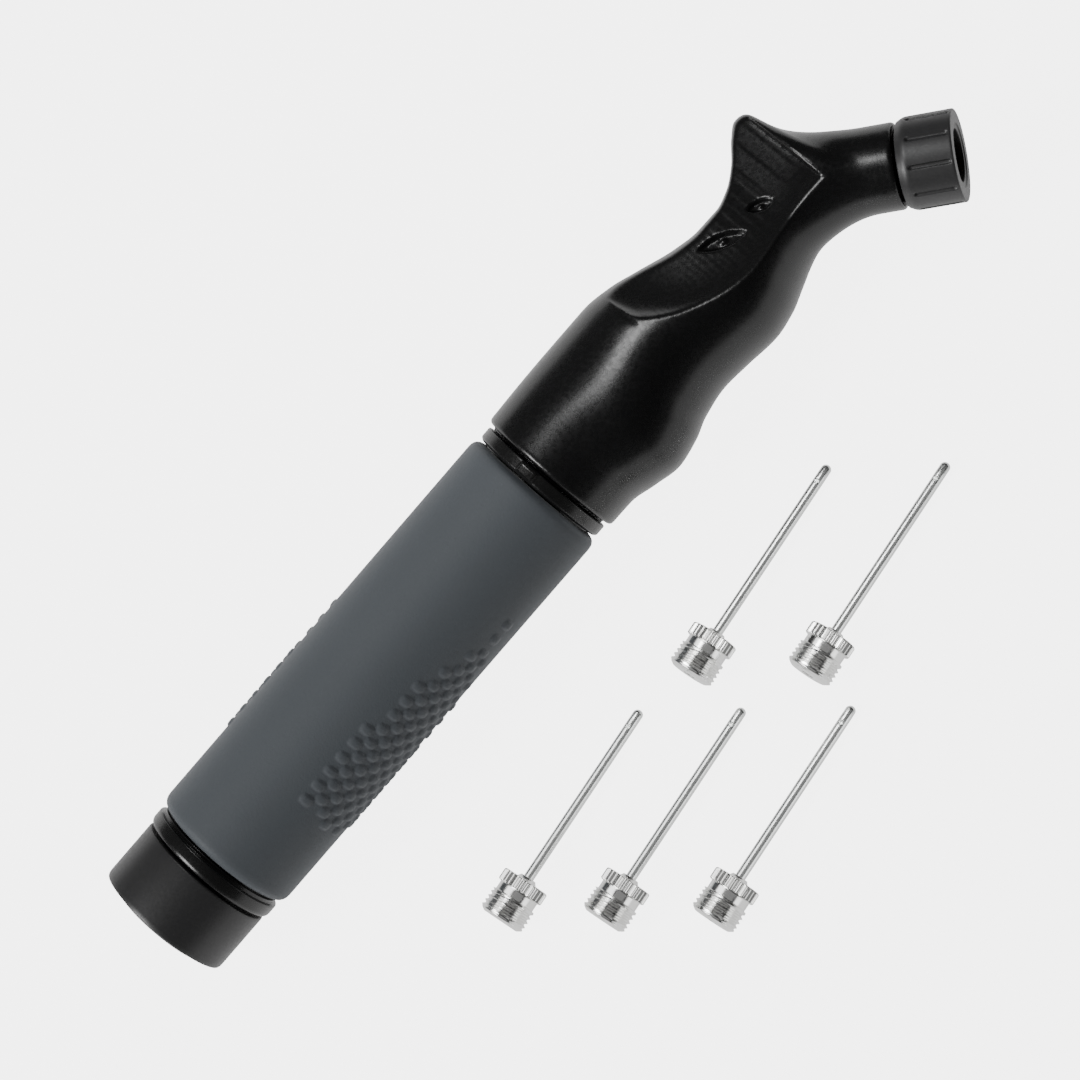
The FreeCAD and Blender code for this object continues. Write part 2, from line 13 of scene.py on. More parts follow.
import bmesh
import bpy
import numpy as np
import openvdb
from mathutils import Matrix, Vector

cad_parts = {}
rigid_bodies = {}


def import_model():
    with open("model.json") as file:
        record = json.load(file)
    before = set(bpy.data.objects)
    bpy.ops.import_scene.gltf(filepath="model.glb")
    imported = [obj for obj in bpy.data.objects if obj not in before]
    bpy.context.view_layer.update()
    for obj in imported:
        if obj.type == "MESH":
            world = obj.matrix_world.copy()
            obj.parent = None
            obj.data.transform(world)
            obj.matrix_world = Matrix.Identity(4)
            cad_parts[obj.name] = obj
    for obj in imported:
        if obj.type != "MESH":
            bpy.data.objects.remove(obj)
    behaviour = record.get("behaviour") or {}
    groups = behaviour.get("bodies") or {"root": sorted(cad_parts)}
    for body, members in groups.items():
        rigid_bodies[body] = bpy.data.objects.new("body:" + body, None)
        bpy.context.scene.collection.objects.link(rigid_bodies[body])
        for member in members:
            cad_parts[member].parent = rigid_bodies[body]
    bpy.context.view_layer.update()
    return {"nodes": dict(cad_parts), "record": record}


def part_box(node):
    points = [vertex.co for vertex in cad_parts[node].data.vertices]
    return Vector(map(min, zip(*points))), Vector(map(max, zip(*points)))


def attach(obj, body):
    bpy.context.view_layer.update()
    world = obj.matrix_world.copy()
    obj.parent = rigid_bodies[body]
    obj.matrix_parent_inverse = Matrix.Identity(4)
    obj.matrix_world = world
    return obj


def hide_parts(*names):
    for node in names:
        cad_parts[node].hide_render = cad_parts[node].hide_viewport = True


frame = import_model()

LOG = logging.getLogger("ball_pump")
MM = 0.001
MARKS_SCALE = 60.0
Array = np.ndarray
Curve = Sequence[tuple[float, float]]
Colour = tuple[float, float, float]


class Side(Enum):
    """Which way a revolved outline is closed."""

    RING = "ring"
    SOLID = "solid"


# ---- shared shader effects -----------------------------------------------------------------


class NodeTree:
    """Small helper that adds and links shader nodes in one tree."""

    def __init__(self, tree: bpy.types.NodeTree) -> None:
        """Keep the tree.

        Args:
            tree: The node tree to add to.
        """
        self.tree = tree

    def add(self, kind: str, **settings: object) -> bpy.types.Node:
        """Add a node and set its properties and inputs.

        Args:
            kind: The node's type name.
            **settings: Properties of the node, or values of inputs with the same name.

        Returns:
            The new node.
        """
        node = self.tree.nodes.new(kind)
        for name, value in settings.items():
            if hasattr(node, name):
                setattr(node, name, value)
            else:
                node.inputs[name.replace("_", " ")].default_value = value
        return node

    def link(self, source: bpy.types.NodeSocket, target: bpy.types.NodeSocket) -> None:
        """Join two sockets."""
        self.tree.links.new(source, target)

    def feed(self, values: Sequence[object], sockets: Sequence[bpy.types.NodeSocket]) -> None:
        """Give each socket a link, a colour or a number.

        Args:
            values: Sockets to link from, colours or numbers.
            sockets: The inputs that take them, in the same order.
        """
        for value, socket in zip(values, sockets):
            if isinstance(value, bpy.types.NodeSocket):
                self.link(value, socket)
            else:
                socket.default_value = (*value, 1.0) if isinstance(value, tuple) else value

    def math(self, operation: str, first: object, second: object = 0.0, third: object = 0.0,
             clamp: bool = False) -> bpy.types.NodeSocket:
        """Add a Math node.

        Args:
            operation: Blender's name of the operation.
            first: A number or a socket.
            second: A number or a socket.
            third: A number or a socket, used by operations with three inputs.
            clamp: Whether the result is held between 0 and 1.

        Returns:
            The result's socket.
        """
        node = self.tree.nodes.new("ShaderNodeMath")
        node.operation = operation
        node.use_clamp = clamp
        self.feed((first, second, third), node.inputs)
        return node.outputs[0]

    def mix(self, share: object, first: object, second: object) -> bpy.types.NodeSocket:
        """Mix two colours.

        Args:
            share: A number or a socket, 0 for the first colour.
            first: A colour or a socket.
            second: A colour or a socket.

        Returns:
            The mixed colour's socket.
        """
        node = self.tree.nodes.new("ShaderNodeMix")
        node.data_type = "RGBA"
        self.feed((share, first, second), [s for s in node.inputs if s.enabled])
        return next(s for s in node.outputs if s.enabled)


def new_group(name: str, inputs: dict[str, float], outputs: dict[str, str]) -> tuple:
    """Start a shader node group with named sockets.

    Args:
        name: The group's name.
        inputs: Name and default of each number that goes in.
        outputs: Name and socket type of each result.

    Returns:
        The group's tree helper, its input node and its output node.
    """
    tree = bpy.data.node_groups.new(name, "ShaderNodeTree")
    for socket_name, default in inputs.items():
        socket = tree.interface.new_socket(socket_name, in_out="INPUT", socket_type="NodeSocketFloat")
        socket.default_value = default
    for socket_name, kind in outputs.items():
        tree.interface.new_socket(socket_name, in_out="OUTPUT", socket_type=kind)
    helper = NodeTree(tree)
    return helper, helper.add("NodeGroupInput"), helper.add("NodeGroupOutput")


def make_grain_group() -> bpy.types.NodeTree:
    """Build the fine moulded grain: a height and a matching roughness offset.

    Returns:
        The group, with Scale in, and Height and Rough out.
    """
    cell_scale, mean_height, rough_share = 0.6, 0.9, 0.12
    helper, given, result = new_group(
        "moulded_grain", {"Scale": 3000.0},
        {"Height": "NodeSocketFloat", "Rough": "NodeSocketFloat"})
    place = helper.add("ShaderNodeTexCoord").outputs["Object"]
    fine = helper.add("ShaderNodeTexNoise", Detail=3.0, Roughness=0.6)
    helper.link(place, fine.inputs["Vector"])
    helper.link(given.outputs["Scale"], fine.inputs["Scale"])
    cells = helper.add("ShaderNodeTexVoronoi", feature="SMOOTH_F1")
    helper.link(place, cells.inputs["Vector"])
    helper.link(helper.math("MULTIPLY", given.outputs["Scale"], cell_scale), cells.inputs["Scale"])
    total = helper.math("ADD", fine.outputs["Fac"], cells.outputs["Distance"])
    height = helper.math("SUBTRACT", total, mean_height)
    helper.link(height, result.inputs["Height"])
    helper.link(helper.math("MULTIPLY", height, rough_share), result.inputs["Rough"])
    return helper.tree


def make_handling_group() -> bpy.types.NodeTree:
    """Build the mottled mask of handling: soft clouds and a few fine scuffs.

    Returns:
        The group, with Scale in, and Clouds and Scuffs out.
    """
    scuff_stretch, scuff_scale, faint_scuff, full_scuff = 9.0, 3.0, 0.66, 0.76
    helper, given, result = new_group(
        "handling_marks", {"Scale": MARKS_SCALE},
        {"Clouds": "NodeSocketFloat", "Scuffs": "NodeSocketFloat"})
    place = helper.add("ShaderNodeTexCoord").outputs["Object"]
    clouds = helper.add("ShaderNodeTexNoise", Detail=5.0, Roughness=0.55)
    helper.link(place, clouds.inputs["Vector"])
    helper.link(given.outputs["Scale"], clouds.inputs["Scale"])
    stretch = helper.add("ShaderNodeMapping")
    stretch.inputs["Scale"].default_value = (1.0, scuff_stretch, scuff_stretch)
    helper.link(place, stretch.inputs["Vector"])
    lines = helper.add("ShaderNodeTexNoise", Detail=2.0)
    helper.link(stretch.outputs["Vector"], lines.inputs["Vector"])
    helper.link(helper.math("MULTIPLY", given.outputs["Scale"], scuff_scale), lines.inputs["Scale"])
    picked = helper.add("ShaderNodeMapRange")
    picked.inputs["From Min"].default_value = faint_scuff
    picked.inputs["From Max"].default_value = full_scuff
    helper.link(lines.outputs["Fac"], picked.inputs["Value"])
    helper.link(clouds.outputs["Fac"], result.inputs["Clouds"])
    helper.link(picked.outputs["Result"], result.inputs["Scuffs"])
    return helper.tree


GRAIN = make_grain_group()
HANDLING = make_handling_group()


@dataclass(frozen=True)
class Finish:
    """A surface finish with grain, handling marks and slight colour variation."""

    name: str
    colour: Colour
    shade: Colour
    roughness: float
    roughness_spread: float = 0.06
    metallic: float = 0.0
    grain_scale: float = 3000.0
    grain_height: float = 0.00002
    scuff_lift: float = 0.08
    sheen: float = 0.0
    specular: float = 0.5

    def material(self) -> bpy.types.Material:
        """Make the Blender material, or return it if it was made before.

        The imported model's plain materials are named after the slots, so this one's name differs.

        Returns:
            The material.
        """
        name = f"{self.name}_finish"
        if name in bpy.data.materials:
            return bpy.data.materials[name]
        material = bpy.data.materials.new(name)
        material.use_nodes = True
        helper = NodeTree(material.node_tree)
        shader = material.node_tree.nodes["Principled BSDF"]
        grain = helper.add("ShaderNodeGroup", node_tree=GRAIN)
        grain.inputs["Scale"].default_value = self.grain_scale
        marks = helper.add("ShaderNodeGroup", node_tree=HANDLING)
        marks.inputs["Scale"].default_value = MARKS_SCALE
        colour = helper.mix(marks.outputs["Clouds"], self.colour, self.shade)
        helper.link(colour, shader.inputs["Base Color"])
        spread = helper.math("MULTIPLY_ADD", marks.outputs["Clouds"], self.roughness_spread,
                             self.roughness - self.roughness_spread / 2)
        scuffed = helper.math("MULTIPLY_ADD", marks.outputs["Scuffs"], self.scuff_lift, spread)
        rough = helper.math("ADD", scuffed, grain.outputs["Rough"], clamp=True)
        helper.link(rough, shader.inputs["Roughness"])
        bump = helper.add("ShaderNodeBump")
        bump.inputs["Strength"].default_value = 1.0
        bump.inputs["Distance"].default_value = self.grain_height
        helper.link(grain.outputs["Height"], bump.inputs["Height"])
        helper.link(bump.outputs["Normal"], shader.inputs["Normal"])
        shader.inputs["Metallic"].default_value = self.metallic
        shader.inputs["Sheen Weight"].default_value = self.sheen
        shader.inputs["Specular IOR Level"].default_value = self.specular
        return material


@dataclass(frozen=True)
class PlatedFinish(Finish):
    """A bright plated or drawn metal, with a very fine grain."""

    metallic: float = 1.0
    roughness: float = 0.14
    roughness_spread: float = 0.08
    grain_scale: float = 1800.0
    grain_height: float = 0.0000015


HANDLE_PLASTIC = Finish(
    "handle_plastic", (0.005, 0.005, 0.0052), (0.009, 0.009, 0.0093), 0.27,
    grain_scale=2600.0, grain_height=0.000005, scuff_lift=0.04)
CAP_PLASTIC = Finish(
    "cap_plastic", (0.026, 0.026, 0.0267), (0.034, 0.034, 0.0348), 0.4,
    grain_scale=3400.0, grain_height=0.000005)
RING_PLASTIC = Finish(
    "ring_plastic", (0.008, 0.008, 0.008), (0.012, 0.012, 0.012), 0.27,
    grain_scale=4000.0, grain_height=0.000003)
GRIP_RUBBER = Finish(
    "grip_rubber", (0.078, 0.088, 0.098), (0.09, 0.101, 0.112), 0.62,
    grain_scale=4200.0, grain_height=0.00002, sheen=0.12, specular=0.35)
BARREL_PLASTIC = Finish("barrel_plastic", (0.015, 0.015, 0.016), (0.022, 0.022, 0.023), 0.3)
INNER_PLASTIC = Finish("inner_plastic", (0.05, 0.05, 0.053), (0.07, 0.07, 0.074), 0.45)
SEAL_RUBBER = Finish("seal_rubber", (0.012, 0.012, 0.012), (0.02, 0.02, 0.02), 0.55)
BRASS = PlatedFinish("brass", (0.70, 0.49, 0.20), (0.80, 0.60, 0.28), 0.24)
ROD_METAL = PlatedFinish("rod_aluminium", (0.72, 0.73, 0.75), (0.80, 0.81, 0.83), 0.26)
VALVE_STEEL = PlatedFinish("valve_steel", (0.62, 0.62, 0.64), (0.70, 0.70, 0.72), 0.18)
NEEDLE_CHROME = PlatedFinish("needle_chrome", (0.80, 0.80, 0.78), (0.88, 0.88, 0.87), 0.2)
NEEDLE_TUBE = PlatedFinish("needle_tube_steel", (0.74, 0.76, 0.75), (0.84, 0.85, 0.84), 0.26)

FINISHES = {finish.name: finish for finish in (
    HANDLE_PLASTIC, CAP_PLASTIC, RING_PLASTIC, GRIP_RUBBER, BARREL_PLASTIC, INNER_PLASTIC,
    SEAL_RUBBER, BRASS, ROD_METAL, VALVE_STEEL, NEEDLE_CHROME, NEEDLE_TUBE)}

# ---- mesh helpers --------------------------------------------------------------------------


@dataclass(frozen=True)
class Axis:
    """A straight axis with two directions across it, in millimetres of the row frame."""

    origin: Vector
    along: Vector
    up: Vector = Vector((0.0, 0.0, 1.0))

    def place(self, x: Array, y: Array, z: Array) -> Array:
        """Turn distances along and across the axis into metres of the row frame.

        Args:
            x: Distance along the axis.
            y: Distance to its left, seen along it.
            z: Distance above it.

        Returns:
            An array of points with a last dimension of 3.
        """
        along = self.along.normalized()
        left = self.up.cross(along).normalized()
        top = along.cross(left)
        points = np.array(self.origin)
        for distance, direction in ((x, along), (y, left), (z, top)):
            points = points + np.asarray(distance)[..., None] * np.array(direction)
        return points * MM


def add_piece(name: str, points: Array, faces: Sequence[Sequence[int]], finish: Finish,
              body: str, sharp_angle: float = 40.0) -> bpy.types.Object:
    """Make an object from points and faces and let it ride on a body.

    Args:
        name: The piece's name.
        points: One row of x, y and z in metres for each vertex.
        faces: Vertex numbers of each face.
        finish: Its finish.
        body: The body it rides on.
        sharp_angle: Edges that turn more than this many degrees stay crisp.

    Returns:
        The new object.
    """
    mesh = bpy.data.meshes.new(name)
    mesh.from_pydata(points.reshape(-1, 3).tolist(), [], [list(map(int, f)) for f in faces])
    mesh.update()
    mesh.shade_smooth()
    piece = bpy.data.objects.new(name, mesh)
    bpy.context.scene.collection.objects.link(piece)
    work = bmesh.new()
    work.from_mesh(mesh)
    bmesh.ops.remove_doubles(work, verts=work.verts, dist=1e-7)
    bmesh.ops.recalc_face_normals(work, faces=work.faces)
    work.to_mesh(mesh)
    work.free()
    mesh.set_sharp_from_angle(angle=math.radians(sharp_angle))
    mesh.materials.append(finish.material())
    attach(piece, body)
    return piece


def grid_faces(rows: int, columns: int, close_rows: bool) -> list[tuple[int, int, int, int]]:
    """Faces of a grid that is closed round its columns.

    Args:
        rows: Number of rows.
        columns: Points in each row.
        close_rows: Whether the last row joins the first.

    Returns:
        The faces.
    """
    faces = []
    for i in range(rows if close_rows else rows - 1):
        lower = (i + 1) % rows
        for j in range(columns):
            right = (j + 1) % columns
            faces.append((i * columns + j, i * columns + right,
                          lower * columns + right, lower * columns + j))
    return faces


Relief = Callable[[Array, Array], Array]


def revolve(name: str, axis: Axis, outline: Curve, finish: Finish,
            body: str, segments: int = 128, side: Side = Side.RING,
            relief: Relief | None = None, sharp_angle: float = 40.0) -> bpy.types.Object:
    """Turn an outline about an axis, with an optional relief on its radius.

    Args:
        name: The piece's name.
        axis: The axis of revolution.
        outline: Corners as distance along the axis and radius.
        finish: Its finish.
        body: The body it rides on.
        segments: Points round the axis.
        side: RING closes the outline on itself, SOLID starts and ends on the axis.
        relief: Gives a change of radius for each distance, angle and radius row.
        sharp_angle: Edges that turn more than this many degrees stay crisp.

    Returns:
        The new object.
    """
    along = np.array([corner[0] for corner in outline])[:, None]
    radius = np.array([corner[1] for corner in outline])[:, None]
    angle = np.linspace(0, 2 * math.pi, segments, endpoint=False)[None, :]
    spread = np.broadcast_to(radius, (len(outline), segments)).copy()
    stations = np.broadcast_to(along, spread.shape)
    angles = np.broadcast_to(angle, spread.shape)
    if relief is not None:
        spread = spread + relief(stations, angles) * (spread > 0.01)
    points = axis.place(stations, spread * np.cos(angles), spread * np.sin(angles))
    faces = grid_faces(len(outline), segments, side is Side.RING)
    return add_piece(name, points, faces, finish, body, sharp_angle)


def rounded(outline: Sequence[tuple[float, float, float]], steps: int = 5) -> list[tuple[float, float]]:
    """Round the corners of a closed outline.

    Args:
        outline: Corners as distance along the axis, radius and rounding size.
        steps: Points on each rounded corner.

    Returns:
        The outline's points.
    """
    result = []
    count = len(outline)
    for i, (x, r, size) in enumerate(outline):
        here = Vector((x, r))
        if size <= 0:
            result.append((x, r))
            continue
        before = Vector(outline[i - 1][:2]) - here
        after = Vector(outline[(i + 1) % count][:2]) - here
        start = here + before.normalized() * size
        end = here + after.normalized() * size
        for k in range(steps + 1):
            t = k / steps
            point = start * (1 - t) ** 2 + here * (2 * t * (1 - t)) + end * t ** 2
            result.append((point.x, point.y))
    return result


def densify(outline: Curve, step: float) -> list[tuple[float, float]]:
    """Add points to an outline so that no stretch is longer than a step.

    Args:
        outline: Points as distance and radius, closed.
        step: The longest stretch allowed.

    Returns:
        The denser outline.
    """
    result = []
    for i, (x, r) in enumerate(outline):
        following = outline[(i + 1) % len(outline)]
        length = math.hypot(following[0] - x, following[1] - r)
        pieces = max(1, math.ceil(length / step))
        for k in range(pieces):
            share = k / pieces
            result.append((x + (following[0] - x) * share, r + (following[1] - r) * share))
    return result


def smooth_max(a: Array, b: Array, size: float) -> Array:
    """Larger of two distances, with the corner between them rounded by size."""
    overlap = np.maximum(size - np.abs(a - b), 0) / size
    return np.maximum(a, b) + overlap ** 2 * size / 4


def smooth_min(a: Array, b: Array, size: float) -> Array:
    """Smaller of two distances, with the corner between them rounded by size."""
    return -smooth_max(-a, -b, size)


def curve_through(knots: Curve, x: Array) -> Array:
    """Smooth curve through knots, without overshoot.

    Args:
        knots: Places and values, in order.
        x: Where to read the curve.

    Returns:
        The values there.
    """
    places = np.array([k[0] for k in knots], float)
    values = np.array([k[1] for k in knots], float)
    gaps = np.diff(places)
    slopes = np.diff(values) / gaps
    tangents = np.zeros_like(values)
    tangents[0], tangents[-1] = slopes[0], slopes[-1]
    same = slopes[:-1] * slopes[1:] > 0
    weights = 2 * gaps[1:] + gaps[:-1], gaps[1:] + 2 * gaps[:-1]
    with np.errstate(divide="ignore", invalid="ignore"):
        harmonic = sum(weights) / (weights[0] / slopes[:-1] + weights[1] / slopes[1:])
    tangents[1:-1] = np.where(same, harmonic, 0.0)
    x = np.clip(x, places[0], places[-1])
    i = np.clip(np.searchsorted(places, x, side="right") - 1, 0, len(gaps) - 1)
    t = (x - places[i]) / gaps[i]
    first = (1 + 2 * t) * (1 - t) ** 2 * values[i] + t * (1 - t) ** 2 * gaps[i] * tangents[i]
    second = t * t * (3 - 2 * t) * values[i + 1] + t * t * (t - 1) * gaps[i] * tangents[i + 1]
    return first + second


def ramp(value: Array, length: float) -> Array:
    """Share of a length that a value has covered, held between 0 and 1."""
    return np.clip(value / length, 0, 1)


def cad(node: str) -> tuple[Vector, Vector]:
    """Lowest and highest corner of a node, in millimetres."""
    low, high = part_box(node)
    return low / MM, high / MM


def barrel_axis() -> Axis:
    """Axis of the barrel.

    Returns:
        The axis, starting at the end cap's flat face.
    """
    low, high = cad("end_cap")
    middle = (low + high) / 2
    return Axis(Vector((low.x, middle.y, middle.z)), Vector((1.0, 0.0, 0.0)))


def barrel_span(node: str) -> tuple[float, float, float]:
    """Where a round piece of the barrel lies.

    Args:
        node: The piece's node.

    Returns:
        Its start and end along the barrel, and its radius.
    """
    low, high = cad(node)
    start = barrel_axis().origin.x
    return low.x - start, high.x - start, (high.y - low.y) / 2


# ---- handle --------------------------------------------------------------------------------


@dataclass
class Handle:
    """The moulded handle: finger waves, thumb scoop, horn and angled nozzle.

    finger, thumb and thickness say how far the grip reaches on its finger side, on its thumb
    side and above its middle plane, at distances from its front edge. scoop is the height of
    the plane that gives the hollow its rim, and scoop_tilt the slope of its floor. A recess has
    a place along and across the grip, a length, a width and a heading in degrees.
    """

    front: float = field(default_factory=lambda: barrel_span("handle_body")[0])
    nozzle_x: float = 60.1
    nozzle_angle: float = 42.0
    neck_radius: float = 6.9
    root_radius: float = 7.6
    root_length: float = 11.0
    root_blend: float = 5.0
    root_inside: float = 6.0
    root_inside_blend: float = 4.0
    neck_end: float = 16.0
    neck_round: float = 0.6
    spigot_radius: float = 5.6
    spigot_overlap: float = 2.0
    spigot_end: float = 22.5
    spigot_pitch: float = 1.5
    spigot_ridge: float = 0.35
    bore_radius: float = 4.95
    bore_start: float = 14.0
    cavity_radius: float = 10.03
    cavity_end: float = 11.0
    length: float = 63.3
    front_round: float = 0.9
    back_round: float = 1.8
    voxel: float = 0.27
    room_low: tuple[float, float, float] = (-1.2, -27.0, -14.4)
    room_high: tuple[float, float, float] = (81.8, 16.2, 14.4)
    finger: Curve = (
        (0.0, 12.6), (5.0, 12.7), (9.5, 13.9), (14.3, 15.0), (19.0, 14.2), (23.0, 12.8),
        (28.3, 12.0), (33.0, 12.4), (39.5, 13.1), (44.0, 12.4), (48.0, 11.0), (51.5, 9.8),
        (55.0, 9.0), (58.5, 8.8), (63.3, 8.4))
    thumb: Curve = (
        (0.0, 12.6), (14.3, 13.0), (23.0, 12.9), (28.3, 11.9), (33.0, 10.2), (39.5, 7.8),
        (44.0, 6.85), (48.0, 6.8), (51.5, 7.8), (55.0, 10.0), (58.5, 13.3), (61.0, 14.9),
        (63.3, 14.7))
    thickness: Curve = (
        (0.0, 12.6), (23.0, 12.5), (33.0, 11.9), (44.0, 11.2), (51.5, 9.8), (58.5, 8.4),
        (63.3, 7.6))
    scoop: Curve = (
        (20.0, 16.0), (25.5, 13.9), (28.2, 12.3), (33.6, 10.0), (41.1, 8.0), (48.6, 6.5),
        (55.1, 5.6), (63.3, 5.5))
    rim_slope: float = 0.36
    scoop_slope: float = 0.45
    scoop_tilt: Curve = ((24.0, 0.33), (30.0, 0.28), (38.0, 0.12), (46.0, 0.06))
    dish_width: float = 2.6
    scoop_end: float = 62.4
    crease: float = 0.6
    boss_radius: float = 11.2
    boss_reach: float = 0.5
    boss_depth: float = 2.0
    recesses: Sequence[tuple[float, float, float, float, float]] = (
        (45.0, 0.4, 8.6, 2.7, -28.0), (53.0, 0.2, 4.8, 2.2, -28.0))
    recess_depth: float = 0.85
    recess_wall: float = 0.45
    plug_height: float = 0.45
    plug_wall: float = 0.35
    plug_share: float = 0.22
    plug_stretch: float = 1.5

    def nozzle_axis(self) -> Axis:
        """Axis of the nozzle.

        Returns:
            The axis, from where it crosses the barrel's axis.
        """
        base = barrel_axis()
        angle = math.radians(self.nozzle_angle)
        origin = base.origin + Vector((self.front + self.nozzle_x, 0.0, 0.0))
        return Axis(origin, Vector((math.cos(angle), -math.sin(angle), 0.0)))

    def grip_field(self, x: Array, y: Array, z: Array) -> Array:
        """Signed distance to the grip and horn, before the nozzle is added.

        Args:
            x: Distance from the handle's front edge.
            y: Distance towards the horn's side.
            z: Distance above the middle plane.

        Returns:
            About the distance to the surface, negative inside.
        """
        finger = curve_through(self.finger, x)
        thumb = curve_through(self.thumb, x)
        thick = curve_through(self.thickness, x)
        middle = (thumb - finger) / 2
        half = (thumb + finger) / 2
        across = (y - middle) / half
        above = z / thick
        ratio = np.sqrt(across ** 2 + above ** 2) + 1e-6
        reach = np.hypot(y - middle, z)
        base = (ratio - 1) * reach / ratio
        ended = smooth_max(base, x - self.length, self.back_round)
        return smooth_max(ended, -x, self.front_round)

    def scooped(self, body: Array, x: Array, y: Array, z: Array) -> Array:
        """Cut the hollow for the thumb into both cheeks, up to the back of the horn.

        Args:
            body: The field before the cut.
            x: Distance from the handle's front edge.
            y: Distance towards the horn's side.
            z: Distance above the middle plane.

        Returns:
            The field with the hollow.
        """
        edge, rim = self.scoop_rim(x[:, :1, :1])
        inward = y - edge
        dish = np.where(inward > 0, self.dish_width * (1 - np.exp(-inward / self.dish_width)), inward)
        limit = rim - self.scoop_slope * dish - curve_through(self.scoop_tilt, x) * inward
        cut = np.minimum(np.abs(z) - limit, self.scoop_end - x)
        return smooth_max(body, cut, self.crease)

    def scoop_rim(self, x: Array) -> tuple[Array, Array]:
        """Where the hollow's rim lies on the finger side.

        Args:
            x: Distances from the handle's front edge, one row each.

        Returns:
            The rim's sideways place and its height for each distance.
        """
        finger, thumb = curve_through(self.finger, x), curve_through(self.thumb, x)
        share = np.linspace(-0.98, 0.98, 99)
        side = (thumb - finger) / 2 + (thumb + finger) / 2 * share
        surface = curve_through(self.thickness, x) * np.sqrt(1 - share ** 2)
        plane = curve_through(self.scoop, x) - self.rim_slope * side
        first = np.argmax(plane < surface, axis=-1)[..., None]
        edge = np.take_along_axis(side, first, axis=-1)
        return edge, curve_through(self.scoop, x) - self.rim_slope * edge

    def whole_field(self, x: Array, y: Array, z: Array) -> Array:
        """Signed distance to the whole handle.

        Args:
            x: Distance from the handle's front edge.
            y: Distance towards the horn's side.
            z: Distance above the middle plane.

        Returns:
            About the distance to the surface, negative inside.
        """
        grip = self.grip_field(x, y, z)
        angle = math.radians(self.nozzle_angle)
        s = (x - self.nozzle_x) * math.cos(angle) - y * math.sin(angle)
        t = (x - self.nozzle_x) * math.sin(angle) + y * math.cos(angle)
        around = np.hypot(t, z)
        flare = ramp(s, self.root_length)
        narrowing = (self.neck_radius - self.root_radius) * flare * flare * (3 - 2 * flare)
        neck = smooth_max(around - self.root_radius - narrowing, s - self.neck_end, self.neck_round)
        neck = smooth_max(neck, -self.root_inside - s, self.root_inside_blend)
        body = self.scooped(smooth_min(grip, neck, self.root_blend), x, y, z)
        boss = np.maximum(-self.boss_reach - x, x - self.boss_depth)
        boss = np.maximum(np.hypot(y, z) - self.boss_radius, boss)
        body = np.minimum(body, boss)
        turn = np.arctan2(z, t) / (2 * math.pi)
        phase = (s - self.neck_end) / self.spigot_pitch - turn
        ridge = self.spigot_ridge * np.abs(2 * (phase - np.floor(phase)) - 1)
        spigot = np.maximum(around - self.spigot_radius + ridge, s - self.spigot_end)
        spigot = np.maximum(spigot, self.neck_end - self.spigot_overlap - s)
        body = np.minimum(body, spigot)
        for place, side, length, width, heading in self.recesses:
            body = self.sink(body, (x, y, z), (place, side), (length, width), heading)
        bore = np.maximum(around - self.bore_radius, self.bore_start - s)
        cavity = np.maximum(np.hypot(y, z) - self.cavity_radius, x - self.cavity_end)
        return np.maximum(np.maximum(body, -bore), -cavity)

    def sink(self, body: Array, place: tuple[Array, Array, Array], centre: tuple[float, float],
             size: tuple[float, float], heading: float) -> Array:
        """Sink a lens-shaped recess with a raised middle into both cheeks.

        Args:
            body: The field before the recess.
            place: The grip's coordinates.
            centre: Where the recess lies.
            size: Its length and width.
            heading: Its direction in degrees from the barrel's axis.

        Returns:
            The field with the recess.
        """
        x, y, _ = place
        turn = math.radians(heading)
        u = (x - centre[0]) * math.cos(turn) + (y - centre[1]) * math.sin(turn)
        v = -(x - centre[0]) * math.sin(turn) + (y - centre[1]) * math.cos(turn)
        bow = (size[0] ** 2 / 4 - size[1] ** 2 / 4) / size[1]
        arc = bow + size[1] / 2
        lens = np.maximum(np.hypot(u, v - bow), np.hypot(u, v + bow)) - arc
        plug = np.hypot(u / self.plug_stretch, v) - size[1] * self.plug_share
        depth = self.recess_depth * ramp(-lens, self.recess_wall)
        depth = depth - self.plug_height * ramp(-plug, self.plug_wall)
        near_skin = np.abs(body) < 3.0
        return body + depth * near_skin

    def build(self) -> None:
        """Mesh the handle from its field and dress it."""
        low, high = np.array(self.room_low), np.array(self.room_high)
        count = np.ceil((high - low) / self.voxel).astype(int)
        axes = [low[i] + self.voxel * np.arange(count[i]) for i in range(3)]
        x, y, z = np.meshgrid(*axes, indexing="ij")
        values = self.whole_field(x, y, z).astype(np.float32)
        band = 3 * self.voxel
        grid = openvdb.FloatGrid(band)
        grid.copyFromArray(np.clip(values, -band, band))
        points, quads = grid.convertToQuads()
        base = barrel_axis()
        local = points * self.voxel + low
        placed = base.place(local[:, 0] + self.front, local[:, 1], local[:, 2])
        piece = add_piece("handle_shell", placed, quads, HANDLE_PLASTIC, "handle", 50.0)
        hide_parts("handle_body")
        LOG.info("handle_shell: %d faces", len(quads))


# ---- barrel --------------------------------------------------------------------------------


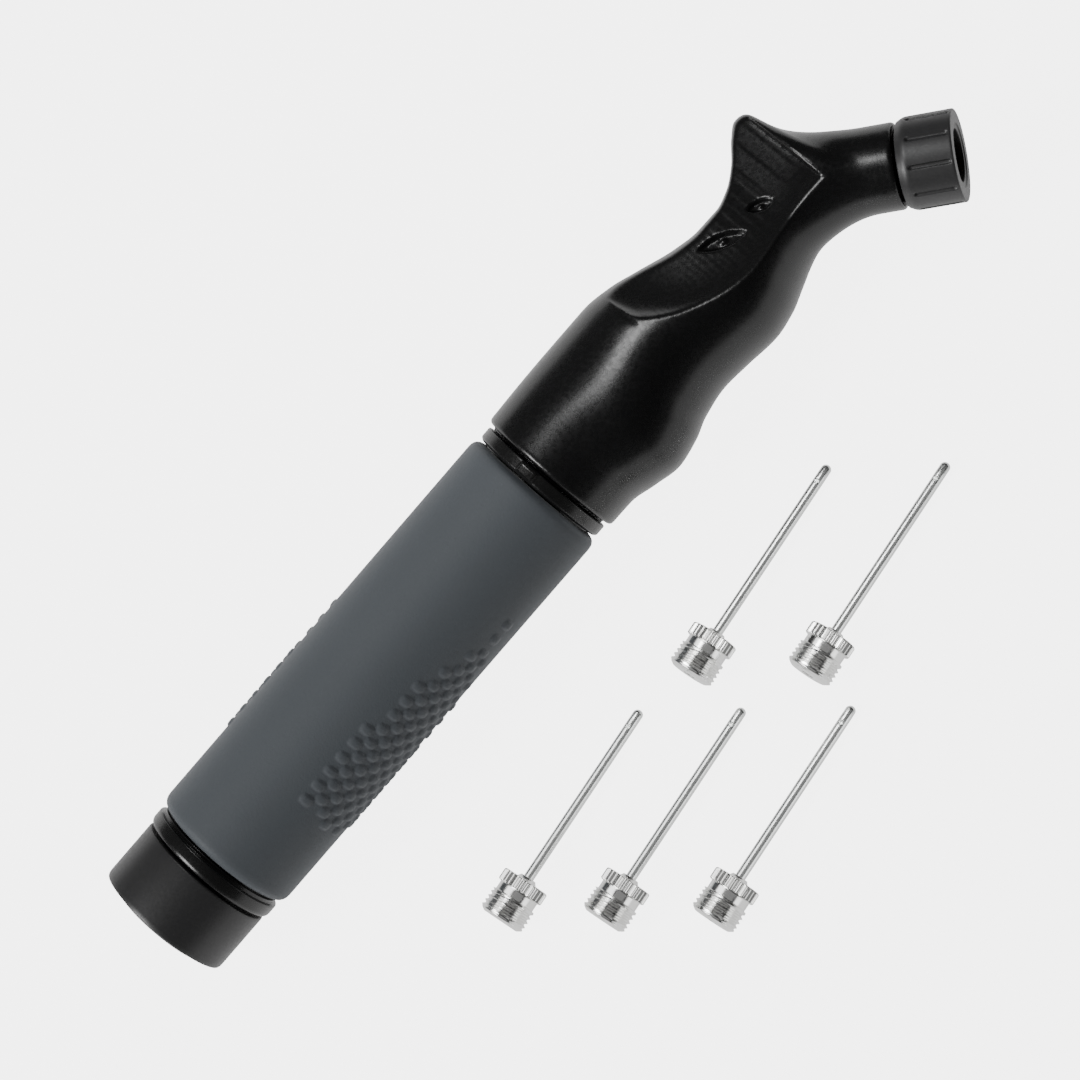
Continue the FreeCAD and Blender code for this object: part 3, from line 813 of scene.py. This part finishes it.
@dataclass
class Barrel:
    """The sliding barrel's outer pieces: end cap, rings and grip sleeve."""

    cap_bore: float = 10.0
    cap_floor: float = 2.0
    dish_depth: float = 0.25
    dish_radius: float = 8.6
    dish_edge: float = 0.4
    ring_step: float = 0.7
    tube_radius: float = 10.32
    sleeve_radius: float = 12.5
    sleeve_edge: float = 1.9
    lip_radius: float = 4.6
    plate: float = 0.4
    lug_turn: float = 8.0
    lug_half_width: float = 1.7
    lug_height: float = 0.42
    lug_slope: float = 0.25
    bump_height: float = 0.34
    bump_radius: float = 1.25
    bump_pitch: float = 2.9
    bump_columns: int = 20
    patch_angle: float = 79.0
    patch_edge: Curve = (
        (29.0, 95.0), (30.1, 84.0), (30.9, 62.0), (32.7, 52.0), (37.4, 50.0), (48.0, 55.0),
        (59.5, 66.0), (67.7, 82.0), (73.6, 88.0), (75.0, 95.0))

    def build(self) -> None:
        """Build and dress every outer piece of the barrel."""
        self.build_end_cap()
        self.build_ring()
        self.build_sleeve()
        self.build_collar()

    def build_end_cap(self) -> None:
        """Build the screw cap, with a rolled edge and a shallow dished face."""
        start, end, radius = barrel_span("end_cap")
        outline = rounded([
            (start, radius, 1.5), (end, radius, 0.35), (end, self.cap_bore, 0.15),
            (self.cap_floor, self.cap_bore, 0.3)])
        outline += [(self.cap_floor, 0.0), (self.dish_depth, 0.0), (self.dish_depth, self.dish_radius),
                    (start, self.dish_radius + self.dish_edge)]
        middle = outline.index((self.cap_floor, 0.0))
        solid = outline[middle + 1:] + outline[:middle + 1]
        piece = revolve("end_cap_shell", barrel_axis(), solid, CAP_PLASTIC, "end_cap", 160, Side.SOLID)
        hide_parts("end_cap")

    def build_ring(self) -> None:
        """Build the black ring below the sleeve, with a step that the sleeve sits on."""
        start, end, radius = barrel_span("barrel_ring")
        step = radius - self.ring_step
        outline = rounded([
            (start, radius - 0.25, 0.2), (start + 0.5, radius, 0.3), (end - 0.7, radius, 0.25),
            (end - 0.6, step, 0.1), (end, step, 0.1), (end, self.tube_radius, 0.05),
            (start, self.tube_radius, 0.05)])
        piece = revolve("barrel_ring_shell", barrel_axis(), outline, RING_PLASTIC, "barrel", 160)
        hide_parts("barrel_ring")

    def build_collar(self) -> None:
        """Build the collar above the sleeve, with its end plate and small lug."""
        start, end, radius = barrel_span("collar")
        plate = end - self.plate
        outline = rounded([
            (start, radius - 0.5, 0.1), (start + 0.4, radius, 0.25), (end, radius, 0.3),
            (end, self.lip_radius, 0.15), (plate, self.lip_radius, 0.05),
            (plate, self.tube_radius, 0.0), (start, self.tube_radius, 0.05)])
        outline = densify(outline, 0.25)

        def lug(along: Array, angle: Array) -> Array:
            """Raise a small lug on the rim.

            Args:
                along: Distance along the barrel.
                angle: Angle round it.

            Returns:
                The change of radius, 0 away from the lug.
            """
            offset = (angle - math.pi / 2 - math.radians(self.lug_turn)) * radius
            across = ramp(self.lug_half_width - np.abs(offset), 0.3)
            inside = ramp(along - start - 0.35, self.lug_slope) * ramp(end - 0.15 - along, self.lug_slope)
            return self.lug_height * across * inside

        axis = barrel_axis()
        piece = revolve("collar_shell", axis, outline, RING_PLASTIC, "barrel", 384, relief=lug)
        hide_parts("collar")

    def sleeve_relief(self, along: Array, angle: Array) -> Array:
        """Height of the bumps at each place on the sleeve.

        Args:
            along: Distance along the barrel.
            angle: Angle round it, from the horn's side towards the top.

        Returns:
            The height, 0 on the smooth patches.
        """
        column = 2 * math.pi / self.bump_columns
        patch = math.radians(self.patch_angle)
        row = np.round(along / (self.bump_pitch / 2))
        shift = patch + np.mod(row, 2) * column / 2
        place = row * self.bump_pitch / 2
        centre = np.round((angle - shift) / column) * column + shift
        distance = np.hypot(along - place, (angle - centre) * self.sleeve_radius)
        dome = np.clip(1 - (distance / self.bump_radius) ** 2, 0, 1) ** 0.8
        fold = np.degrees(np.arccos(np.abs(np.cos(centre - patch))))
        inside = fold > curve_through(self.patch_edge, place) - 0.5
        return self.bump_height * dome * inside

    def build_sleeve(self) -> None:
        """Build the soft sleeve with its fields of small bumps."""
        start, end, radius = barrel_span("grip_sleeve")
        outline = rounded([
            (start, radius, self.sleeve_edge), (end, radius, self.sleeve_edge),
            (end, self.tube_radius, 0.2), (start, self.tube_radius, 0.2)], 6)
        dense = densify(outline, 0.25)
        outside = np.array([r > radius - 0.01 for _, r in dense])[:, None]

        def relief(along: Array, angle: Array) -> Array:
            """Bumps on the outside rows only."""
            return self.sleeve_relief(along, angle) * outside

        piece = revolve("grip_sleeve_skin", barrel_axis(), dense, GRIP_RUBBER, "barrel", 360,
                        relief=relief, sharp_angle=70.0)
        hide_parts("grip_sleeve")


# ---- nozzle cap ----------------------------------------------------------------------------


@dataclass
class NozzleCap:
    """The ribbed screw cap on the nozzle."""

    start: float = 16.5
    end: float = 25.5
    radius: float = 7.35
    neck: float = 6.75
    bore: float = 5.72
    wall: float = 1.3
    hole: float = 4.2
    lip_width: float = 0.9
    lip_depth: float = 0.2
    ribs: int = 10
    first_rib: float = -66.0
    groove_half_width: float = 0.42
    groove_depth: float = 0.35

    def relief(self, along: Array, angle: Array) -> Array:
        """Depth of the round-ended grooves that leave the ribs between them.

        Args:
            along: Distance along the nozzle.
            angle: Angle round it.

        Returns:
            The change of radius, 0 on the ribs.
        """
        step = 2 * math.pi / self.ribs
        turned = angle - math.radians(self.first_rib)
        offset = (np.mod(turned + step / 2, step) - step / 2) * self.radius
        run = np.clip(along, self.start + 2.2, self.end - 0.9)
        distance = np.hypot(offset, along - run)
        depth = ramp(self.groove_half_width - distance, 0.2)
        return -self.groove_depth * depth * depth * (3 - 2 * depth)

    def build(self, handle: Handle) -> None:
        """Build the cap.

        Args:
            handle: Gives the nozzle's axis.
        """
        inner = self.end - self.wall
        lip = self.end - self.lip_depth
        outside = rounded([
            (self.start, self.bore + 0.2, 0.1), (self.start, self.neck, 0.15),
            (self.start + 1.2, self.radius, 0.5), (self.end, self.radius, 0.3),
            (self.end, self.hole + self.lip_width, 0.1), (lip, self.hole + self.lip_width - 0.15, 0.1),
            (lip, self.hole, 0.15), (inner, self.hole, 0.05), (inner, self.bore, 0.05)])
        dense = densify(outside, 0.2)

        def relief(along: Array, angle: Array) -> Array:
            """Grooves on the outside rows only."""
            outer = np.array([r > self.radius - 1.0 for _, r in dense])[:, None]
            return self.relief(along, angle) * outer

        piece = revolve("nozzle_cap_shell", handle.nozzle_axis(), dense, CAP_PLASTIC, "nozzle_cap",
                        400, relief=relief, sharp_angle=60.0)
        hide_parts("nozzle_cap")


# ---- needles -------------------------------------------------------------------------------


@dataclass
class Needle:
    """One inflation needle: plated hub with thread and knurl, and a thin tube."""

    number: int
    heading: float = 9.5
    length: float = 39.7
    radius: float = 0.85
    bore: float = 0.5
    thread_radius: float = 3.92
    thread_depth: float = 0.42
    pitch: float = 0.79
    base: float = 0.7
    thread_end: float = 3.86
    neck_radius: float = 3.4
    knurl_start: float = 5.36
    knurl_end: float = 7.46
    knurl_radius: float = 3.95
    knurl_depth: float = 0.36
    teeth: int = 28
    hub_end: float = 8.06
    port_back: float = 3.2
    port_radius: float = 0.42
    port_depth: float = 0.5

    def axis(self) -> Axis:
        """Axis of the needle, which leans on its tip and its knurled ring.

        Returns:
            The axis, from the threaded end.
        """
        reach = self.length - self.radius - self.knurl_end
        tilt = math.asin((self.knurl_radius - self.radius) / reach)
        heading = math.radians(self.heading)
        along = Vector((math.cos(tilt) * math.cos(heading), math.cos(tilt) * math.sin(heading),
                        -math.sin(tilt)))
        low, high = cad(f"needle_tube_{self.number}")
        tip = Vector((high.x - self.radius, high.y - self.radius, low.z + self.radius))
        origin = tip - along * (self.length - self.radius)
        return Axis(origin, along)

    def relief(self, along: Array, angle: Array) -> Array:
        """Helical thread at the base and straight knurling on the ring.

        Args:
            along: Distance along the needle.
            angle: Angle round it.

        Returns:
            The change of radius, 0 or less.
        """
        phase = along / self.pitch - angle / (2 * math.pi)
        wave = 0.5 - 0.5 * np.cos(2 * math.pi * phase)
        run_in = ramp(along - 0.35, 0.6) * ramp(self.thread_end - along, 0.35)
        thread = -self.thread_depth * wave ** 0.8 * run_in
        threaded = (along < self.thread_end) & (along > 0.05)
        teeth = np.abs(np.mod(angle * self.teeth / (2 * math.pi), 1.0) - 0.5) * 2
        knurl = -self.knurl_depth * np.clip(1.35 * (1 - teeth) - 0.1, 0, 1)
        inside = (along > self.knurl_start + 0.12) & (along < self.knurl_end - 0.12)
        return thread * threaded + knurl * inside

    def build(self) -> None:
        """Build the hub and the tube."""
        axis = self.axis()
        body = f"needle_{self.number}"
        outline = rounded([
            (0.0, self.radius + 0.15, 0.0), (0.0, 3.0, 0.1),
            (self.base * 0.7, self.thread_radius - 0.15, 0.1), (self.base, self.thread_radius, 0.05),
            (self.thread_end, self.thread_radius - 0.1, 0.05),
            (self.thread_end + 0.1, self.neck_radius, 0.1), (self.knurl_start, self.neck_radius, 0.1),
            (self.knurl_start + 0.05, self.knurl_radius - 0.2, 0.1),
            (self.knurl_start + 0.2, self.knurl_radius, 0.08),
            (self.knurl_end - 0.2, self.knurl_radius, 0.08),
            (self.knurl_end, self.knurl_radius - 0.25, 0.1), (self.knurl_end, 1.75, 0.1),
            (self.knurl_end + 0.35, 1.45, 0.1), (self.hub_end, 1.3, 0.1),
            (self.hub_end, self.radius + 0.02, 0.0)], 3)
        outline = densify(outline, 0.13)
        radii = np.array([r for _, r in outline])[:, None]

        def relief(along: Array, angle: Array) -> Array:
            """Thread and knurl on the outside rows only."""
            return self.relief(along, angle) * (radii > self.neck_radius - 0.02)

        hub = revolve(f"needle_hub_{self.number}_turned", axis, outline, NEEDLE_CHROME, body, 224,
                      relief=relief, sharp_angle=55.0)
        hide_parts(f"needle_hub_{self.number}")
        self.build_tube(axis, body)

    def build_tube(self, axis: Axis, body: str) -> None:
        """Build the tube, with a rounded tip and a side port near it.

        Args:
            axis: The needle's axis.
            body: The body it rides on.
        """
        tip = self.length
        outline = [(0.3, self.bore), (0.3, self.radius - 0.05), (0.35, self.radius)]
        fine_start, fine_end = tip - 4.2, tip - 2.2
        outline += [(x, self.radius) for x in np.arange(1.0, fine_start, 1.5)]
        outline += [(x, self.radius) for x in np.arange(fine_start, fine_end, 0.07)]
        for k in range(1, 9):
            turn = math.pi / 2 * k / 8
            outline.append((tip - self.radius + self.radius * math.sin(turn),
                            max(self.radius * math.cos(turn), 0.0)))
        port = tip - self.port_back

        def dimple(along: Array, angle: Array) -> Array:
            """Sink the side port."""
            offset = (angle - math.pi / 2) * self.radius
            distance = np.hypot(along - port, offset) / self.port_radius
            return -self.port_depth * ramp(1 - distance, 0.25)

        outline = outline[::-1] + [(0.3, 0.0)]
        tube = revolve(f"needle_tube_{self.number}_drawn", axis, outline, NEEDLE_TUBE, body, 64,
                       Side.SOLID, relief=dimple)
        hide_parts(f"needle_tube_{self.number}")


# ---- inner pieces --------------------------------------------------------------------------


@dataclass
class Mechanism:
    """The inner pieces, which keep their shape and get their finishes."""

    nodes: Sequence[str] = field(default_factory=lambda: sorted(frame["nodes"]))

    def dress(self) -> None:
        """Give every carried-over node the finish of its material slot."""
        slots = {part["node"]: part["material_slot"] for part in frame["record"]["subparts"]}
        for name in self.nodes:
            node = frame["nodes"][name]
            finish = FINISHES[slots[name]]
            node.data.materials.clear()
            node.data.materials.append(finish.material())
        LOG.info("dressed %d nodes", len(self.nodes))


# ---- studio --------------------------------------------------------------------------------


@dataclass(frozen=True)
class Lamp:
    """A soft square light that faces one of the pump's pieces.

    lean is its angle from the camera's direction and turn is the way it leans, from the
    picture's right towards its top, both in degrees. Lengths are in metres. only is the start
    of the names of the pieces it lights.
    """

    name: str
    target: str
    lean: float
    turn: float
    distance: float
    size: float
    power: float
    only: str = ""


@dataclass
class Studio:
    """Pale floor, soft lights and the camera."""

    floor_size: float = 6.0
    distance: float = 545.0
    lens: float = 115.7
    tilt: float = 3.2
    roll: float = 21.0
    heading: float = 49.15
    aim_along: float = 85.7
    aim_side: float = -6.1
    floor_colour: Colour = (0.30, 0.298, 0.298)
    floor_seen: float = 5.0
    floor_glow: float = 0.9
    room_dark: float = 0.012
    room_bright: float = 0.06
    room_edge: tuple[float, float] = (0.55, 0.86)
    lamps: Sequence[Lamp] = (
        Lamp("key", "grip_sleeve", 60.0, 200.0, 1.2, 0.5, 13.0),
        Lamp("head", "valve_body", 40.3, 152.0, 0.2, 0.06, 0.15),
        Lamp("needles_front", "needle_tube_4", 8.0, 60.0, 0.6, 0.6, 0.27, only="needle_"),
        Lamp("needles_left", "needle_tube_4", 55.0, 149.0, 0.5, 0.34, 1.1, only="needle_"),
        Lamp("needles_right", "needle_tube_4", 60.0, -31.0, 0.5, 0.34, 0.9, only="needle_"))

    def screen(self) -> Matrix:
        """Camera axes: right, up and backwards.

        Returns:
            A rotation matrix with those axes as its columns.
        """
        tilt = math.radians(self.tilt)
        roll = math.radians(self.roll)
        back = Vector((math.sin(tilt), -math.sin(roll) * math.cos(tilt),
                       math.cos(roll) * math.cos(tilt)))
        along = Vector((1.0, 0.0, 0.0))
        along = (along - back * along.dot(back)).normalized()
        side = back.cross(along)
        heading = math.radians(self.heading)
        right = along * math.cos(heading) - side * math.sin(heading)
        up = along * math.sin(heading) + side * math.cos(heading)
        return Matrix((right, up, back)).transposed()

    def build_camera(self) -> None:
        """Place the camera in front of the pump."""
        axes = self.screen()
        base = barrel_axis()
        aim = base.origin + Vector((self.aim_along, self.aim_side, 0.0))
        camera = bpy.data.cameras.new("camera")
        camera.lens = self.lens
        camera.sensor_width = 36.0
        holder = bpy.data.objects.new("camera", camera)
        place = (aim + axes.col[2] * self.distance) * MM
        holder.matrix_world = Matrix.Translation(place) @ axes.to_4x4()
        bpy.context.scene.collection.objects.link(holder)
        bpy.context.scene.camera = holder

    def build_floor(self) -> None:
        """Lay the pale floor."""
        mesh = bpy.data.meshes.new("floor")
        half = self.floor_size / 2
        corners = [(-half, -half, 0), (half, -half, 0), (half, half, 0), (-half, half, 0)]
        mesh.from_pydata(corners, [], [(0, 1, 2, 3)])
        floor = bpy.data.objects.new("floor", mesh)
        bpy.context.scene.collection.objects.link(floor)
        material = bpy.data.materials.new("floor_paper")
        material.use_nodes = True
        shader = material.node_tree.nodes["Principled BSDF"]
        shader.inputs["Base Color"].default_value = (*self.floor_colour, 1.0)
        shader.inputs["Roughness"].default_value = 0.9
        shader.inputs["Specular IOR Level"].default_value = 0.1
        shader.inputs["Emission Color"].default_value = (1.0, 0.997, 0.997, 1.0)
        helper = NodeTree(material.node_tree)
        seen = helper.add("ShaderNodeLightPath").outputs["Is Camera Ray"]
        glow = helper.math("MULTIPLY_ADD", seen, self.floor_seen - self.floor_glow, self.floor_glow)
        helper.link(glow, shader.inputs["Emission Strength"])
        mesh.materials.append(material)

    def add_lamp(self, lamp: Lamp) -> None:
        """Hang one lamp.

        Args:
            lamp: Its place, size and power.
        """
        light = bpy.data.lights.new(lamp.name, "AREA")
        light.size = lamp.size
        light.energy = lamp.power
        right, up, back = self.screen().col
        lean, turn = math.radians(lamp.lean), math.radians(lamp.turn)
        flat = right * math.cos(turn) + up * math.sin(turn)
        way = back * math.cos(lean) + flat * math.sin(lean)
        low, high = cad(lamp.target)
        holder = bpy.data.objects.new(lamp.name, light)
        holder.location = (low + high) / 2 * MM + way * lamp.distance
        holder.rotation_euler = way.to_track_quat("Z", "Y").to_euler()
        bpy.context.scene.collection.objects.link(holder)

    def aim_lamps(self) -> None:
        """Keep the lamps of single pieces off everything else."""
        for lamp in self.lamps:
            if lamp.only:
                lit = bpy.data.collections.new(lamp.name)
                for piece in bpy.data.objects:
                    if piece.name.startswith(lamp.only) and piece.type == "MESH":
                        lit.objects.link(piece)
                bpy.data.objects[lamp.name].light_linking.receiver_collection = lit

    def build_room(self) -> None:
        """Light the room from its sides and leave it dim round the camera."""
        world = bpy.data.worlds.new("room")
        world.use_nodes = True
        helper = NodeTree(world.node_tree)
        background = world.node_tree.nodes["Background"]
        background.inputs["Color"].default_value = (1.0, 1.0, 1.0, 1.0)
        place = helper.add("ShaderNodeTexCoord").outputs["Generated"]
        facing = helper.add("ShaderNodeVectorMath", operation="DOT_PRODUCT")
        helper.link(place, facing.inputs[0])
        facing.inputs[1].default_value = self.screen().col[2]
        fade = helper.add("ShaderNodeMapRange", interpolation_type="SMOOTHSTEP")
        fade.inputs["From Min"].default_value = self.room_edge[0]
        fade.inputs["From Max"].default_value = self.room_edge[1]
        fade.inputs["To Min"].default_value = self.room_bright
        fade.inputs["To Max"].default_value = self.room_dark
        helper.link(facing.outputs["Value"], fade.inputs["Value"])
        helper.link(fade.outputs["Result"], background.inputs["Strength"])
        bpy.context.scene.world = world

    def build(self) -> None:
        """Build the camera, floor, room and lamps."""
        self.build_camera()
        self.build_floor()
        self.build_room()
        for lamp in self.lamps:
            self.add_lamp(lamp)


def main() -> None:
    """Build every part of the pump in order."""
    logging.basicConfig(level=logging.INFO, format="%(name)s: %(message)s")
    studio = Studio()
    studio.build()
    Mechanism().dress()
    handle = Handle()
    handle.build()
    LOG.info("handle built")
    Barrel().build()
    LOG.info("barrel built")
    NozzleCap().build(handle)
    LOG.info("nozzle cap built")
    for number in range(1, 6):
        Needle(number).build()
    LOG.info("needles built")
    studio.aim_lamps()


if __name__ == "__main__":
    main()
